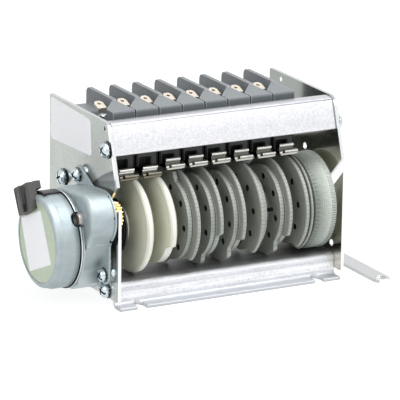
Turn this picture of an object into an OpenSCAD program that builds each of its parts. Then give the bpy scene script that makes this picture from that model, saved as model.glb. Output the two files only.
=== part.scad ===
// Cam timer: an open folded-steel frame, a camshaft with adjustable cams,
// a row of snap switches with levers, and a synchronous gearmotor on the left end.
// Millimetres. X runs along the camshaft, Y to the rear, Z up from the mounting surface.

/* [Frame] */
// Thickness of the frame's sheet steel
plate_t = 1.6; // [1.2:0.1:2]
// Front-to-back depth of the end plates
plate_depth = 76.5; // [75:0.5:84]
// Height of the end plates' top edge
plate_top = 92; // [91.5:0.5:95]
// Gap under the end plates' lower edges
plate_foot = 4.6; // [3:0.2:6]
// Backward lean of the end plates' upper front edges, in degrees
front_lean = 18; // [14:1:20]
// Radius of the end plates' upper front corners
plate_corner = 6; // [3:0.5:8]
// Inner radius of every fold in the sheet steel
fold_r = 1.4; // [0.8:0.2:2]

/* [Front rail] */
// Height of the rail's leaning face
rail_h = 15; // [13:0.5:17]
// Depth of the rail's top lip
rail_lip = 6.5; // [5:0.5:8]

/* [Base pan] */
// Height of the pan's floor
floor_z = 12.4; // [11.5:0.2:13]
// Depth of the mounting flange in front of the riser
flange_d = 6.4; // [6:0.2:8]
// Width of the mounting notches
notch_w = 5.2; // [4.5:0.1:5.5]
// Distance from the end plates to the middle of the mounting notches
notch_inset = 12; // [10:0.5:16]

/* [Mounting ear] */
// Distance from the right plate to the middle of the ear
ear_reach = 16; // [14:0.5:20]
// Width of the ear
ear_w = 9; // [8:0.5:11]
// How far the ear stands in front of the plates
ear_front = 13.6; // [12:0.5:16]

/* [Camshaft] */
// Distance from the front edges of the plates to the shaft
shaft_y = 23.5; // [23:0.1:24]
// Height of the shaft
shaft_z = 36.8; // [36.4:0.1:37]
// Diameter of the shaft
shaft_d = 6.35; // [5:0.05:8]
// Distance between neighbouring cams and switches
pitch = 12.7; // [12.5:0.1:13.5]
// Room for the drive between the left plate and the first station
drive_room = 5.5; // [5.5:0.1:8]
// Room for the end wheel between the last station and the right plate
wheel_room = 16; // [16:0.2:20]
// Radius of the grey cams on their high part
cam_high = 24.4; // [23.6:0.1:24.4]
// Radius of the grey cams on their low part
cam_low = 20.8; // [19.5:0.1:21.5]
// Thickness of one grey cam disc
cam_t = 2.4; // [2.2:0.1:2.5]
// Thickness of the grey cams' high rim
cam_rim_t = 2.1; // [1.8:0.1:2.1]
// Radius of the ivory cams
ivory_r = 24.3; // [23.4:0.1:24.4]
// Thickness of the ivory cams' rim
ivory_t = 3.8; // [3:0.1:4.2]
// Radius of the ring of adjusting holes
hole_ring_r = 16; // [14:0.5:17]
// Diameter of the adjusting holes
adjust_hole_d = 3.3; // [2.4:0.1:3.6]
// Radius of the end wheel
wheel_r = 24.4; // [23:0.1:24.4]

/* [Drive] */
// Module of the drive gears
gear_module = 0.668; // [0.65:0.002:0.68]
// Distance from the front edges of the plates to the motor's output shaft
output_y = 11.2; // [10.6:0.1:11.6]
// Diameter of the motor's output shaft
output_d = 4; // [3:0.1:4.5]
// Radius of the grooved black drum
drum_r = 13.8; // [12:0.1:14]

/* [Motor] */
// Distance from the front edges of the plates to the motor's axis
motor_y = 29.7; // [29:0.1:31]
// Height of the motor's axis
motor_z = 31.5; // [30.5:0.1:32]
// Radius of the motor's can
can_r = 23.7; // [22.5:0.1:24]
// Length of the motor's can
can_len = 14.4; // [13:0.1:17]
// Radius of the pale disc in the motor's end
face_r = 20.2; // [18:0.1:20.5]
// Depth of the gear case
case_len = 12.2; // [11:0.1:14]
// Radius of the gear case round the motor's axis
case_r = 25.2; // [24.8:0.1:25.5]
// Radius of the gear case round the output shaft
lobe_r = 12.4; // [11.4:0.1:12.8]
// Thickness of the motor's mounting plate
motor_plate_t = 1; // [0.8:0.1:1.5]
// Height of the spacers between that plate and the end plate
spacer_h = 1.6; // [1.5:0.1:4]

/* [Switches] */
// Width of a switch case
switch_w = 11.8; // [11.5:0.1:12.1]
// Distance from the front edges of the plates to the switches
switch_y = 21.6; // [21:0.1:22]
// Height of the switch cases' undersides
switch_z = 65.2; // [65.1:0.1:65.6]
// Height of the switch cases' tops
switch_top = 94.2; // [93:0.1:96]
// Length of the switch cases with their barriers
switch_len = 49.4; // [47:0.2:51]
// Thickness of the barrier between two switches
barrier_t = 2; // [1.4:0.1:2.4]
// How far the barriers stand above the cases
barrier_rise = 0.7; // [0.1:0.1:1.5]
// Width of the spade terminals
spade_w = 4.8; // [4:0.1:5]

/* [Levers] */
// Height of a raised lever's arm above the shaft
lever_rise = 26.6; // [26.5:0.1:27]
// Distance from the front edges of the plates to the lever pins
pin_y = 46; // [45:0.5:48]
// Gap between a follower and the largest radius of its cam
follower_gap = 0.2; // [0.1:0.05:0.3]
// Thickness of the levers
lever_t = 0.8; // [0.7:0.1:0.9]

/* [Screws] */
// Head diameter of the frame screws
screw_head_d = 7.6; // [6:0.1:8]
// Head height of the frame screws
screw_head_h = 2.6; // [2:0.1:3]
// Thread diameter of the frame screws
screw_d = 4; // [3:0.1:4.2]

/* [Hidden] */
$fn = 72;

// Clearances
seat = 0.05;
running = 0.06;
body_gap = 0.3;

// Stations along the shaft
stations = 8;
inner_left = plate_t;
first_station = inner_left + drive_room;
last_station = first_station + stations * pitch;
inner_right = last_station + wheel_room;
frame_len = inner_right + plate_t;
cam_inset = 0.5;
cam_pair_gap = 0.4;
function station_x(i) = first_station + (i - 1) * pitch;
cam_shift = 0.6;
function cam_right(i) = station_x(i) + pitch - cam_inset + (i > 5 ? cam_shift : 0);

// Overall reach, used to centre the model
ear_end = frame_len + ear_reach + ear_w / 2;
motor_depth = spacer_h + motor_plate_t + case_len + can_len;
connector_proud = 4.2;
reach_left = motor_depth + connector_proud;
centre_x = (ear_end - reach_left) / 2;
centre_y = (plate_depth - ear_front) / 2;

// Slot that the camshaft drops through, and the leaning front edge above it
slot_w = 5.6;
mouth_z = shaft_z + 25.4;
mouth_y = shaft_z + shaft_y + slot_w / sqrt(2) - mouth_z;
function lean_y(z) = mouth_y + (z - mouth_z) * tan(front_lean);

// Places of the screws in the end plates, as [y, z]
rail_z = plate_top - 0.3;
rail_screw = [lean_y(rail_z - 13.1) + 6.2, rail_z - 13.1];
tie_at = [plate_depth - 16.5, shaft_z + 16.3];
flange_front = 0.3;
riser_y = flange_front + flange_d;
riser_in = riser_y + plate_t;
pan_screw_z = plate_foot + 3.6;
pan_front_screw = [riser_y + 5.2, pan_screw_z];
pan_rear_screw = [plate_depth - riser_y - 5.2, pan_screw_z];
front_rod = [switch_y + 10.4, switch_z + 15.4];
rear_rod = [switch_y + 40.4, switch_z + 9.4];
rod_d = 3.5;
washer_t = 0.9;
tie_d = 8;

// Drive gears: centre distance is the sum of the pitch radii
pinion_teeth = 17;
wheel_teeth = 29;
centre_distance = gear_module * (pinion_teeth + wheel_teeth) / 2;
output_z = shaft_z + sqrt(centre_distance * centre_distance - pow(shaft_y - output_y, 2));
gear_x = inner_left + 0.8;
gear_w = 2.9;
mesh_angle = atan2(output_z - shaft_z, output_y - shaft_y);
backlash = 0.2;

// Black drum and what follows it
drum_left = gear_x + gear_w + 0.4;
drum_right = station_x(1) + 3.1;

// Motor stations, from the end plate outward
plate_outer_x = -spacer_h;
motor_plate_x = plate_outer_x - motor_plate_t;
seam_x = motor_plate_x - case_len;
can_end_x = seam_x - can_len;
ear_top = [38.7, output_z + 13.9];
ear_bottom = [9.9, output_z - 29.2];
ear_r = 4.8;
motor_screw_d = 3.4;

// Switch levers
arm_z = shaft_z + lever_rise;
pin_z = arm_z - 0.6;
pin_d = 1.6;
barrel_r = 1.9;
lever_front = 16.4;
lever_left = 1.9;
lever_split = 4.7;
lever_tab_w = 7.9;
lever_bar_w = 7.2;
// Turn of the lower levers that brings their arms down to the ivory cams
pin_over = pin_z - shaft_z;
pin_behind = pin_y - shaft_y;
lever_drop = acos((ivory_r + follower_gap + pin_z - arm_z) / norm([pin_over, pin_behind]))
    - atan2(pin_behind, pin_over);

// Folded sheet helpers
function unit(v) = v / norm(v);
function left_of(a, b) = [-unit(b - a)[1], unit(b - a)[0]];
function turns_left(a, b, c) = (b - a)[0] * (c - b)[1] - (b - a)[1] * (c - b)[0] > 0;
function mitre(a, b, c, t) =
    let (n1 = left_of(a, b), n2 = left_of(b, c))
    b + t * (n1 + n2) / (1 + n1 * n2);
function arc_corner(a, b, c, r, steps) =
    let (
        u = unit(a - b), v = unit(c - b), half = acos(u * v) / 2,
        centre = b + unit(u + v) * r / sin(half),
        start = b + u * r / tan(half) - centre, stop = b + v * r / tan(half) - centre,
        a0 = atan2(start[1], start[0]),
        sweep = (atan2(stop[1], stop[0]) - a0 + 540) % 360 - 180
    )
    [for (i = [0 : steps]) centre + r * [cos(a0 + sweep * i / steps), sin(a0 + sweep * i / steps)]];
function shifted(path, t) = [
    for (i = [0 : len(path) - 1])
        i == 0 ? path[0] + t * left_of(path[0], path[1])
        : i == len(path) - 1 ? path[i] + t * left_of(path[i - 1], path[i])
        : mitre(path[i - 1], path[i], path[i + 1], t)
];
function bent(path, r_left, r_right) = [
    for (i = [0 : len(path) - 1])
        each i == 0 || i == len(path) - 1 ? [path[i]]
        : arc_corner(path[i - 1], path[i], path[i + 1],
            turns_left(path[i - 1], path[i], path[i + 1]) ? r_left : r_right, 5)
];
function reversed(list) = [for (i = [len(list) - 1 : -1 : 0]) list[i]];
function folded(path, t) = concat(
    bent(path, fold_r + t, fold_r),
    reversed(bent(shifted(path, t), fold_r, fold_r + t))
);
function rounded(points, radii) = [
    for (i = [0 : len(points) - 1])
        each radii[i] == 0 ? [points[i]]
        : arc_corner(points[(i + len(points) - 1) % len(points)], points[i],
            points[(i + 1) % len(points)], radii[i], 6)
];

// Extrudes a [y, z] profile along the shaft
module along_x(x0, len_x) {
    translate([x0, 0, 0]) rotate([90, 0, 90]) linear_extrude(len_x) children();
}

// Extrudes an [x, z] profile to the rear
module along_y(y0, len_y) {
    translate([0, y0 + len_y, 0]) rotate([90, 0, 0]) linear_extrude(len_y) children();
}

module rod_x(at, x0, len_x, d) {
    translate([x0, at[0], at[1]]) rotate([0, 90, 0]) cylinder(h = len_x, d = d);
}

// Turns a [radius, length] profile about an axis along X
module turned_x(at, x0) {
    translate([x0, at[0], at[1]]) rotate([0, 90, 0]) rotate_extrude() children();
}

shaft_at = [shaft_y, shaft_z];
output_at = [output_y, output_z];
motor_at = [motor_y, motor_z];

// End plates
module slot_2d() {
    translate(shaft_at) rotate(135) translate([0, -slot_w / 2]) square([60, slot_w]);
    translate(shaft_at) circle(d = shaft_d + 2 * bushing_wall);
}
bushing_wall = 1.6;
bushing_flange = 0.5;

module plate_2d() {
    difference() {
        polygon(rounded(
            [[0, plate_foot], [plate_depth, plate_foot], [plate_depth, plate_top],
             [lean_y(plate_top), plate_top], [mouth_y, mouth_z], [0, mouth_z - 6]],
            [1.2, 1.2, 1.2, plate_corner, 1, 1]
        ));
        slot_2d();
        for (at = [rail_screw, tie_at, pan_front_screw, pan_rear_screw])
            translate(at) circle(d = screw_d + 2 * seat);
        for (at = [front_rod, rear_rod])
            translate(at) circle(d = rod_d + 2 * seat);
        for (at = [ear_top, ear_bottom])
            translate(at) circle(d = motor_screw_d + 2 * seat);
        translate([plate_depth - 11.7, plate_top - 3.4]) circle(d = 2.4);
    }
}

// The left plate's slot is wider in front, where the pinion's shaft comes through
module pinion_opening_2d() {
    reach = norm(output_at - shaft_at) * cos(mesh_angle - 135);
    translate(shaft_at) rotate(135) {
        translate([reach, -slot_w / 2]) square([60, opening_w]);
        translate([reach, (opening_w - slot_w) / 2]) circle(d = opening_w);
    }
}
opening_w = 9.2;

module left_end_plate() {
    color([0.78, 0.8, 0.77]) difference() {
        along_x(0, plate_t) plate_2d();
        along_x(-1, plate_t + 2) pinion_opening_2d();
        along_x(-1, plate_t + 2) translate([riser_y + 1.2, plate_foot + 7]) square([1.7, 13]);
        rod_x([lean_y(rail_z - 3) + 5.2, rail_z - 3.2], -1, plate_t + 2, 2.2);
    }
}

// The foot turns outward under the rear of the plate and carries the forward ear
foot_front = 32;
foot_rear = 60;
module right_end_plate() {
    path = [[inner_right, plate_foot + 4], [inner_right, 0], [ear_end - 1, 0]];
    color([0.7, 0.72, 0.7]) difference() {
        union() {
            along_x(inner_right, plate_t) plate_2d();
            along_y(foot_front, foot_rear - foot_front) polygon(folded(path, plate_t));
            linear_extrude(plate_t) polygon(rounded(
                [[ear_end - ear_w, -ear_front], [ear_end, -ear_front],
                 [ear_end, foot_rear], [ear_end - ear_w, foot_rear]],
                [ear_w * 0.4, ear_w * 0.4, 3, 0]
            ));
        }
        translate([ear_end - ear_w / 2, 4.4 - ear_front, -1]) cylinder(h = plate_t + 2, d = notch_w);
        translate([ear_end - ear_w / 2, foot_rear - 6, -1]) cylinder(h = plate_t + 2, d = notch_w);
    }
}

// Base pan: floor, front and rear risers, mounting flanges and side flanges
module base_pan() {
    rear_y = plate_depth - flange_front;
    path = [[flange_front, 0], [riser_in, 0], [riser_in, floor_z - plate_t],
            [plate_depth - riser_in, floor_z - plate_t], [plate_depth - riser_in, 0], [rear_y, 0]];
    left = inner_left + seat;
    right = inner_right - seat;
    color([0.72, 0.74, 0.73]) difference() {
        union() {
            along_x(left, right - left) polygon(folded(path, plate_t));
            for (x = [left, right - plate_t])
                along_x(x, plate_t)
                    translate([riser_in - 0.8, plate_foot])
                        square([plate_depth - 2 * riser_in + 1.6, floor_z - plate_foot - 0.6]);
        }
        for (x = [inner_left + notch_inset, inner_right - notch_inset], rear = [0, 1])
            translate([x, rear * plate_depth, -1]) mirror([0, rear, 0]) {
                translate([-notch_w / 2, -1, 0]) cube([notch_w, flange_d - 1.2, plate_t + 3]);
                translate([0, flange_d - 2.2, 0]) cylinder(h = plate_t + 3, d = notch_w);
            }
        for (at = [pan_front_screw, pan_rear_screw])
            rod_x(at, 0, frame_len, screw_d + 2 * seat);
    }
}

// Front rail: a leaning channel with a tab at each end
module front_rail() {
    low = rail_z - rail_h;
    path = [[lean_y(low) + 5, low], [lean_y(low), low], [lean_y(rail_z), rail_z],
            [lean_y(rail_z) + rail_lip, rail_z]];
    left = inner_left + seat;
    right = inner_right - seat;
    color([0.93, 0.93, 0.95]) difference() {
        union() {
            along_x(left, right - left) polygon(folded(reversed(path), plate_t));
            for (x = [left, right - plate_t])
                along_x(x, plate_t) polygon([
                    [lean_y(low) + 1, low + 0.6], [rail_screw[0] + 4.6, low - 1],
                    [rail_screw[0] + 4.6, rail_z - 5], [lean_y(rail_z) + 1.2, rail_z - 1]
                ]);
        }
        rod_x(rail_screw, 0, frame_len, screw_d + 2 * seat);
    }
}

// Tie rod between the plates, tapped at both ends
module tie_rod() {
    color([0.75, 0.77, 0.78]) difference() {
        rod_x(tie_at, inner_left, inner_right - inner_left, tie_d);
        for (x = [inner_left - 1, inner_right - 9])
            rod_x(tie_at, x, 10, screw_d + 2 * seat);
    }
}

// Two rods that thread the switches together and end flush in the plates
module stack_rods() {
    color([0.75, 0.77, 0.78])
        for (at = [front_rod, rear_rod]) rod_x(at, 0, frame_len, rod_d);
}

// Slotted pan-head screw about +X on its washer, the washer's underside at the origin
module pan_screw(head_d, head_h, thread_d, thread_len, washer_t) {
    rotate([0, -90, 0]) difference() {
        cylinder(h = washer_t, d = head_d + 1.2);
        translate([0, 0, -1]) cylinder(h = washer_t + 0.5, d = thread_d);
    }
    translate([-washer_t, 0, 0]) difference() {
        union() {
            translate([-head_h, 0, 0]) rotate([0, 90, 0]) rotate_extrude() polygon([
                [0, 0], [head_d * 0.32, 0], [head_d * 0.45, head_h * 0.25],
                [head_d / 2, head_h * 0.6], [head_d / 2, head_h], [0, head_h]
            ]);
            rotate([0, 90, 0]) cylinder(h = thread_len + washer_t, d = thread_d);
        }
        translate([-head_h - 1, -head_d, -0.5]) cube([1 + head_h * 0.45, 2 * head_d, 1]);
    }
}

module frame_screws() {
    color([0.8, 0.83, 0.85])
        for (at = [rail_screw, tie_at, pan_front_screw, pan_rear_screw]) {
            translate([0, at[0], at[1]]) rotate([35, 0, 0])
                pan_screw(screw_head_d, screw_head_h, screw_d, plate_t + 6, washer_t);
            translate([frame_len, at[0], at[1]]) mirror([1, 0, 0]) rotate([-20, 0, 0])
                pan_screw(screw_head_d, screw_head_h, screw_d, plate_t + 6, washer_t);
        }
}

// Flanged bronze bushings in the plates' round slot ends
module bushing(x0, flip) {
    color([0.72, 0.58, 0.36]) translate([x0, 0, 0]) mirror([flip, 0, 0]) difference() {
        union() {
            rod_x(shaft_at, 0, plate_t, shaft_d + 2 * (bushing_wall - seat));
            rod_x(shaft_at, plate_t, bushing_flange, shaft_d + 4.6);
        }
        rod_x(shaft_at, -1, plate_t + 3, shaft_d + 2 * running);
    }
}
module left_bushing() { bushing(0, 0); }
module right_bushing() { bushing(frame_len, 1); }

// Motor can: drawn steel cup with a stepped, rounded end
module motor_can() {
    color([0.76, 0.8, 0.83]) difference() {
        turned_x(motor_at, can_end_x) polygon(concat(
            [[0, 1.2], [face_r + 0.1, 1.2], [face_r + 0.1, 0], [face_r + 0.9, 0]],
            arc_corner([face_r + 0.9, 0], [can_r - 0.9, 0.3], [can_r - 0.5, 8], 1.6, 6),
            [[can_r - 0.5, 3.4], [can_r - 0.3, 4], [can_r, 4.6], [can_r, can_len - 2.5],
             [can_r + 0.6, can_len - 2.3], [can_r + 0.6, can_len - 1.2], [can_r - 0.1, can_len - 1.2],
             [can_r - 0.1, can_len], [0, can_len]]
        ));
        connector_seat();
        turned_x(output_at, seam_x - bearing_proud) polygon([
            [0, -3], [1.6, -2.8], [2.9, -2.1], [bearing_r + 0.1, -0.8], [bearing_r + 0.3, 0.4],
            [bearing_r + 0.3, bearing_proud + 1], [0, bearing_proud + 1]
        ]);
    }
}

// Pale resin disc that closes the can
module motor_face() {
    color([0.76, 0.82, 0.74]) difference() {
        rod_x(motor_at, can_end_x + 0.3, 0.9, 2 * face_r);
        connector_seat();
    }
}

// The connector hooks over the can's rim, turned back from the vertical
connector_turn = -28;
connector_at = [can_end_x, motor_y, motor_z];
connector_low = can_r - 8.7;
strip_t = 0.9;
module connector_seat() {
    translate(connector_at) rotate([connector_turn, 0, 0])
        translate([-connector_proud - 1, -7.6, connector_low - 0.1]) cube([connector_proud + 3.1, 14.2, 30]);
}

// A thick ribbed half, a thinner half, a hood over the rim and a latch nub
module motor_connector() {
    hood_z = can_r + strip_t + 2 * seat;
    color([0.3, 0.3, 0.31]) translate(connector_at) rotate([connector_turn, 0, 0])
        difference() {
            union() {
                translate([-connector_proud, 0, connector_low]) linear_extrude(13.4)
                    polygon(rounded([[0, 6.5], [0, -1.2], [1.5, -1.2], [1.5, -7.5], [6.2, -7.5], [6.2, 6.5]],
                        [1.4, 0.4, 0.2, 0.8, 0.4, 0.6]));
                translate([1, -7.5, hood_z]) cube([3.6, 14, 4]);
                translate([4.4, -2, hood_z + 1.6]) cube([2.3, 3, 1.8]);
            }
            translate([-connector_proud - 1, 4.1, connector_low + 1.2]) cube([1.9, 0.9, 11]);
            translate([-connector_proud - 1, -0.9, connector_low + 1.2]) cube([1.9, 0.8, 11]);
            translate([-connector_proud - 2, -9, connector_low + 15.6]) rotate([0, 35, 0])
                translate([-4, 0, -2]) cube([4, 18, 6]);
        }
}

// Black insulating strip bent over the top of the can, in front of the connector
module insulator_strip() {
    sweep = 34;
    turn = connector_turn + 16;
    color([0.12, 0.12, 0.13]) difference() {
        turned_x(motor_at, can_end_x + 2.6) translate([can_r + seat, 0]) square([strip_t, can_len - 5.4]);
        translate(connector_at) for (side = [turn + 90 + sweep / 2, turn - 90 - sweep / 2])
            rotate([side, 0, 0]) translate([-1, -60, 0]) cube([can_len + 2, 120, 60]);
        connector_seat();
    }
}

// Outline of the gear case: a lobe round the output shaft, a straight flank
// down to the hollow for the lower ear's screw, and the round of the motor's housing
flank_dir = unit([0.58, -0.815]);
flank_in = [-flank_dir[1], flank_dir[0]];
hollow_r = 3.4;
hollow_at = output_at - (lobe_r + hollow_r) * flank_in
    + ((ear_bottom - output_at) * flank_dir + 1) * flank_dir;
hollow_turn = 56;
function arc_points(centre, r, from, to, steps) =
    [for (k = [0 : steps]) centre + r * [cos(from + (to - from) * k / steps), sin(from + (to - from) * k / steps)]];
function case_outline() =
    let (
        between = motor_at - output_at,
        top_turn = atan2(between[1], between[0]) + acos((lobe_r - case_r) / norm(between)),
        flank_turn = atan2(-flank_in[1], -flank_in[0]) + 360,
        lip_turn = flank_turn - 180 - hollow_turn,
        lip_dir = [sin(lip_turn), -cos(lip_turn)],
        lip = hollow_at + hollow_r * [cos(lip_turn), sin(lip_turn)] - motor_at,
        run = sqrt(pow(lip * lip_dir, 2) - lip * lip + case_r * case_r) - lip * lip_dir,
        join = lip + run * lip_dir,
        start = atan2(join[1], join[0]) + 360
    )
    concat(
        arc_points(output_at, lobe_r, top_turn, flank_turn, 14),
        arc_points(hollow_at, hollow_r, flank_turn - 180, lip_turn, 5),
        arc_points(motor_at, case_r, start, top_turn + 360, 26)
    );
function drawn_in(path, d) = [
    for (i = [0 : len(path) - 1])
        mitre(path[(i + len(path) - 1) % len(path)], path[i], path[(i + 1) % len(path)], d)
];

// Gear case: pear-shaped drawn shell with a soft front edge
case_edge = 2.4;
module case_puck(at, r) {
    turned_x(at, seam_x) polygon(concat(
        [[0, 0]],
        [for (a = [0 : 22.5 : 90]) [r - case_edge + case_edge * sin(a), case_edge * (1 - cos(a))]],
        [[r, case_len], [0, case_len]]
    ), $fn = 40);
}

// Middle of a round of radius r that touches both flanks of the lobe from inside
function between_flanks(r) =
    let (
        back = output_at - motor_at,
        top_turn = atan2(-back[1], -back[0]) + acos((lobe_r - case_r) / norm(back)),
        top_in = -[cos(top_turn), sin(top_turn)],
        grow = r - lobe_r + 0.15,
        det = top_in[0] * flank_in[1] - top_in[1] * flank_in[0]
    )
    output_at + grow * [flank_in[1] - top_in[1], top_in[0] - flank_in[0]] / det;
module gear_case() {
    outline = case_outline();
    flank_start = outline[14] - 12 * flank_dir;
    lip_end = outline[20] + 8 * unit(outline[21] - outline[20]);
    top_in_r = 12;
    color([0.76, 0.8, 0.83]) difference() {
        union() {
            difference() {
                turned_x(motor_at, seam_x) polygon([
                    [0, 0], [case_r - case_edge, 0], [case_r - 0.8, 0.6], [case_r, 1.8], [case_r, case_len], [0, case_len]
                ]);
                along_x(seam_x - 1, case_len + 2) polygon(concat(
                    [flank_start],
                    [for (k = [15 : 20]) outline[k]],
                    [lip_end, [-12, lip_end[1]], [-12, flank_start[1]]]
                ));
            }
            hull() {
                case_puck(output_at, lobe_r);
                case_puck(between_flanks(16), 16);
                case_puck(motor_at + (case_r - top_in_r - 0.15) * [0.09, 0.996], top_in_r);
            }
        }
        rod_x(output_at, seam_x - 1, case_len + 2, 2 * bearing_r + 2 * seat);
    }
}

// Bearing of the output shaft, a drawn eyelet through the gear case
bearing_r = 3.7;
bearing_proud = 2.1;
module output_bearing() {
    color([0.32, 0.31, 0.3]) difference() {
        union() {
            rod_x(output_at, seam_x - 1, case_len + 1, 2 * bearing_r);
            turned_x(output_at, seam_x - bearing_proud)
                polygon([[0, 0], [2.5, 0], [2.9, 0.3], [3.1, 0.9], [bearing_r, 1.3], [bearing_r, 2.2], [0, 2.6]]);
        }
        rod_x(output_at, seam_x - 4, case_len + 5, output_d + 2 * running);
    }
}

// Thin mounting plate staked to the back of the gear case
module motor_plate() {
    color([0.82, 0.84, 0.85]) difference() {
        along_x(motor_plate_x, motor_plate_t) {
            polygon(drawn_in(case_outline(), -0.6));
            hull() {
                translate(ear_top) circle(r = ear_r, $fn = 32);
                translate([output_y + 12.2, output_z + 3.2]) circle(r = ear_r + 3.2, $fn = 32);
            }
            hull() {
                translate(ear_bottom) circle(r = ear_r, $fn = 32);
                translate([output_y + 0.4, output_z - 13.6]) circle(r = ear_r + 2, $fn = 32);
            }
        }
        for (at = [ear_top, ear_bottom])
            rod_x(at, motor_plate_x - 1, motor_plate_t + 2, motor_screw_d + 2 * seat);
        rod_x(output_at, motor_plate_x - 1, motor_plate_t + 2, output_d + 3);
    }
}

module motor_spacers() {
    color([0.8, 0.82, 0.83])
        for (at = [ear_top, ear_bottom]) difference() {
            rod_x(at, -spacer_h, spacer_h, 7.6);
            rod_x(at, -spacer_h - 1, spacer_h + 2, motor_screw_d + 2 * seat);
        }
}

module motor_screws() {
    color([0.8, 0.83, 0.85])
        for (at = [ear_top, ear_bottom])
            translate([motor_plate_x, at[0], at[1]]) rotate([60, 0, 0])
                pan_screw(6.4, 2.3, motor_screw_d, motor_plate_t + spacer_h + plate_t + 1.5, washer_t);
}

// Gear tooth outline from straight-flanked racks wrapped on the pitch circle
module gear_2d(teeth) {
    pitch_r = gear_module * teeth / 2;
    root_r = pitch_r - 1.3 * gear_module;
    tip_r = pitch_r + 0.9 * gear_module;
    step = 360 / teeth;
    play = backlash / pitch_r * 90 / PI;
    base = step / 4 - play;
    polygon([
        for (i = [0 : teeth - 1], p = [[root_r, -base - step * 0.16], [pitch_r, -base],
                [tip_r, -base + step * 0.13], [tip_r, base - step * 0.13],
                [pitch_r, base], [root_r, base + step * 0.16]])
            p[0] * [cos(step * i + p[1]), sin(step * i + p[1])]
    ]);
}

// Brass pinion with its shaft, in mesh with the camshaft's gear
module output_pinion() {
    color([0.86, 0.76, 0.4]) {
        along_x(gear_x, gear_w) translate(output_at) rotate(mesh_angle + 180) gear_2d(pinion_teeth);
        rod_x(output_at, seam_x + 0.6, gear_x - seam_x - 0.6, output_d);
    }
}

module shaft_gear() {
    color([0.86, 0.76, 0.4]) difference() {
        along_x(gear_x, gear_w) translate(shaft_at)
            rotate(mesh_angle + 180 / wheel_teeth) gear_2d(wheel_teeth);
        rod_x(shaft_at, gear_x - 1, gear_w + 2, shaft_d + 2 * seat);
    }
}

module camshaft() {
    r = shaft_d / 2;
    len_x = frame_len - 0.4;
    color([0.74, 0.75, 0.76]) turned_x(shaft_at, 0.2)
        polygon([[0, 0], [r - 0.4, 0], [r, 0.4], [r, len_x - 0.4], [r - 0.4, len_x], [0, len_x]]);
}

// Black drum: a spool with grooves round its rim
module black_drum() {
    w = drum_right - drum_left;
    color([0.1, 0.1, 0.1]) difference() {
        turned_x(shaft_at, drum_left) polygon([
            [shaft_d / 2 + seat, 0], [drum_r - 3.4, 0], [drum_r - 3, 0.8], [drum_r - 1.6, 0.8],
            [drum_r - 1.2, w * 0.28], [drum_r - 2.2, w * 0.38], [drum_r - 1, w * 0.5],
            [drum_r - 0.2, w * 0.55], [drum_r - 1.2, w * 0.68], [drum_r, w * 0.8],
            [drum_r, w - 0.3], [drum_r - 0.3, w], [shaft_d / 2 + seat, w]
        ]);
    }
}

// Ivory cams: a dished wheel with a thick rounded rim and a notch
ivory_hub_r = 9.6;
module ivory_cam(i, notch_from, notch_to) {
    x1 = cam_right(i);
    hub_len = i == 1 ? x1 - drum_right : pitch;
    color([0.9, 0.9, 0.82]) difference() {
        union() {
            turned_x(shaft_at, x1 - ivory_t) polygon([
                [shaft_d / 2 + seat, -2.6], [ivory_hub_r + 0.4, -2.6], [ivory_hub_r + 2.2, -1.7],
                [ivory_r - 5, -0.3], [ivory_r - 2, 0],
                [ivory_r - 0.7, 0.2], [ivory_r, 1], [ivory_r, ivory_t - 0.9],
                [ivory_r - 0.9, ivory_t], [shaft_d / 2 + seat, ivory_t]
            ]);
            difference() {
                rod_x(shaft_at, x1 - hub_len, hub_len - ivory_t / 2, 2 * ivory_hub_r);
                rod_x(shaft_at, x1 - hub_len - 1, hub_len + 2, shaft_d + 2 * seat);
            }
        }
        if (notch_to > notch_from) along_x(x1 - ivory_t - 1, ivory_t + 2)
            translate(shaft_at) low_sector(notch_from, notch_to, ivory_r - 3.2);
    }
}

// Angles run from the front (0) over the top (90) to the rear (180)
function around(r, a) = [-r * cos(a), r * sin(a)];
module low_sector(from, to, low_r) {
    n = max(2, ceil((to - from) / 6));
    slant = 11;
    polygon(concat(
        [for (k = [0 : n]) around(low_r, from + (to - from) * k / n)],
        [for (k = [n : -1 : 0]) around(low_r + 4.8, from - slant + (to - from + 2 * slant) * k / n)]
    ));
}

module cam_1() { ivory_cam(1, 196, 244); }
module cam_2() { ivory_cam(2, 212, 334); }

// One grey cam disc: high and low sectors, a ring of adjusting holes and a hub
disc_hub_r = 9.2;
function disc_profile() = [
    [shaft_d / 2 + seat, 0], [cam_high - 0.35, 0], [cam_high, 0.35], [cam_high, cam_rim_t - 0.35],
    [cam_high - 0.35, cam_rim_t], [cam_low - 0.3, cam_rim_t], [cam_low - 0.3, cam_t],
    [shaft_d / 2 + seat, cam_t]
];
module cam_disc(x0, side, low_from, low_to, hole_phase, hub_from, hub_to) {
    color([0.6, 0.62, 0.6]) difference() {
        union() {
            turned_x(shaft_at, x0) polygon(side > 0
                ? [for (p = disc_profile()) [p[0], cam_t - p[1]]]
                : disc_profile());
            if (hub_to > hub_from) difference() {
                rod_x(shaft_at, hub_from, hub_to - hub_from, 2 * disc_hub_r);
                rod_x(shaft_at, hub_from - 1, hub_to - hub_from + 2, shaft_d + 2 * seat);
            }
        }
        along_x(x0 - 1, cam_t + 2) translate(shaft_at) low_sector(low_from, low_to, cam_low);
        for (k = [0 : 7])
            translate([x0 - 1, shaft_y, shaft_z]) rotate([-hole_phase - 45 * k, 0, 0])
                translate([0, -hole_ring_r, 0]) rotate([0, 90, 0])
                    cylinder(h = cam_t + 2, d = adjust_hole_d, $fn = 24);
    }
}

module left_disc(i, low_from, low_to, hole_phase) {
    x0 = cam_right(i) - 2 * cam_t - cam_pair_gap;
    cam_disc(x0, -1, low_from, low_to, hole_phase, cam_right(i - 1), x0 + cam_t / 2);
}
module right_disc(i, low_from, low_to, hole_phase) {
    x0 = cam_right(i) - cam_t;
    cam_disc(x0, 1, low_from, low_to, hole_phase, x0 - cam_pair_gap, x0 + cam_t / 2);
}

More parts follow.
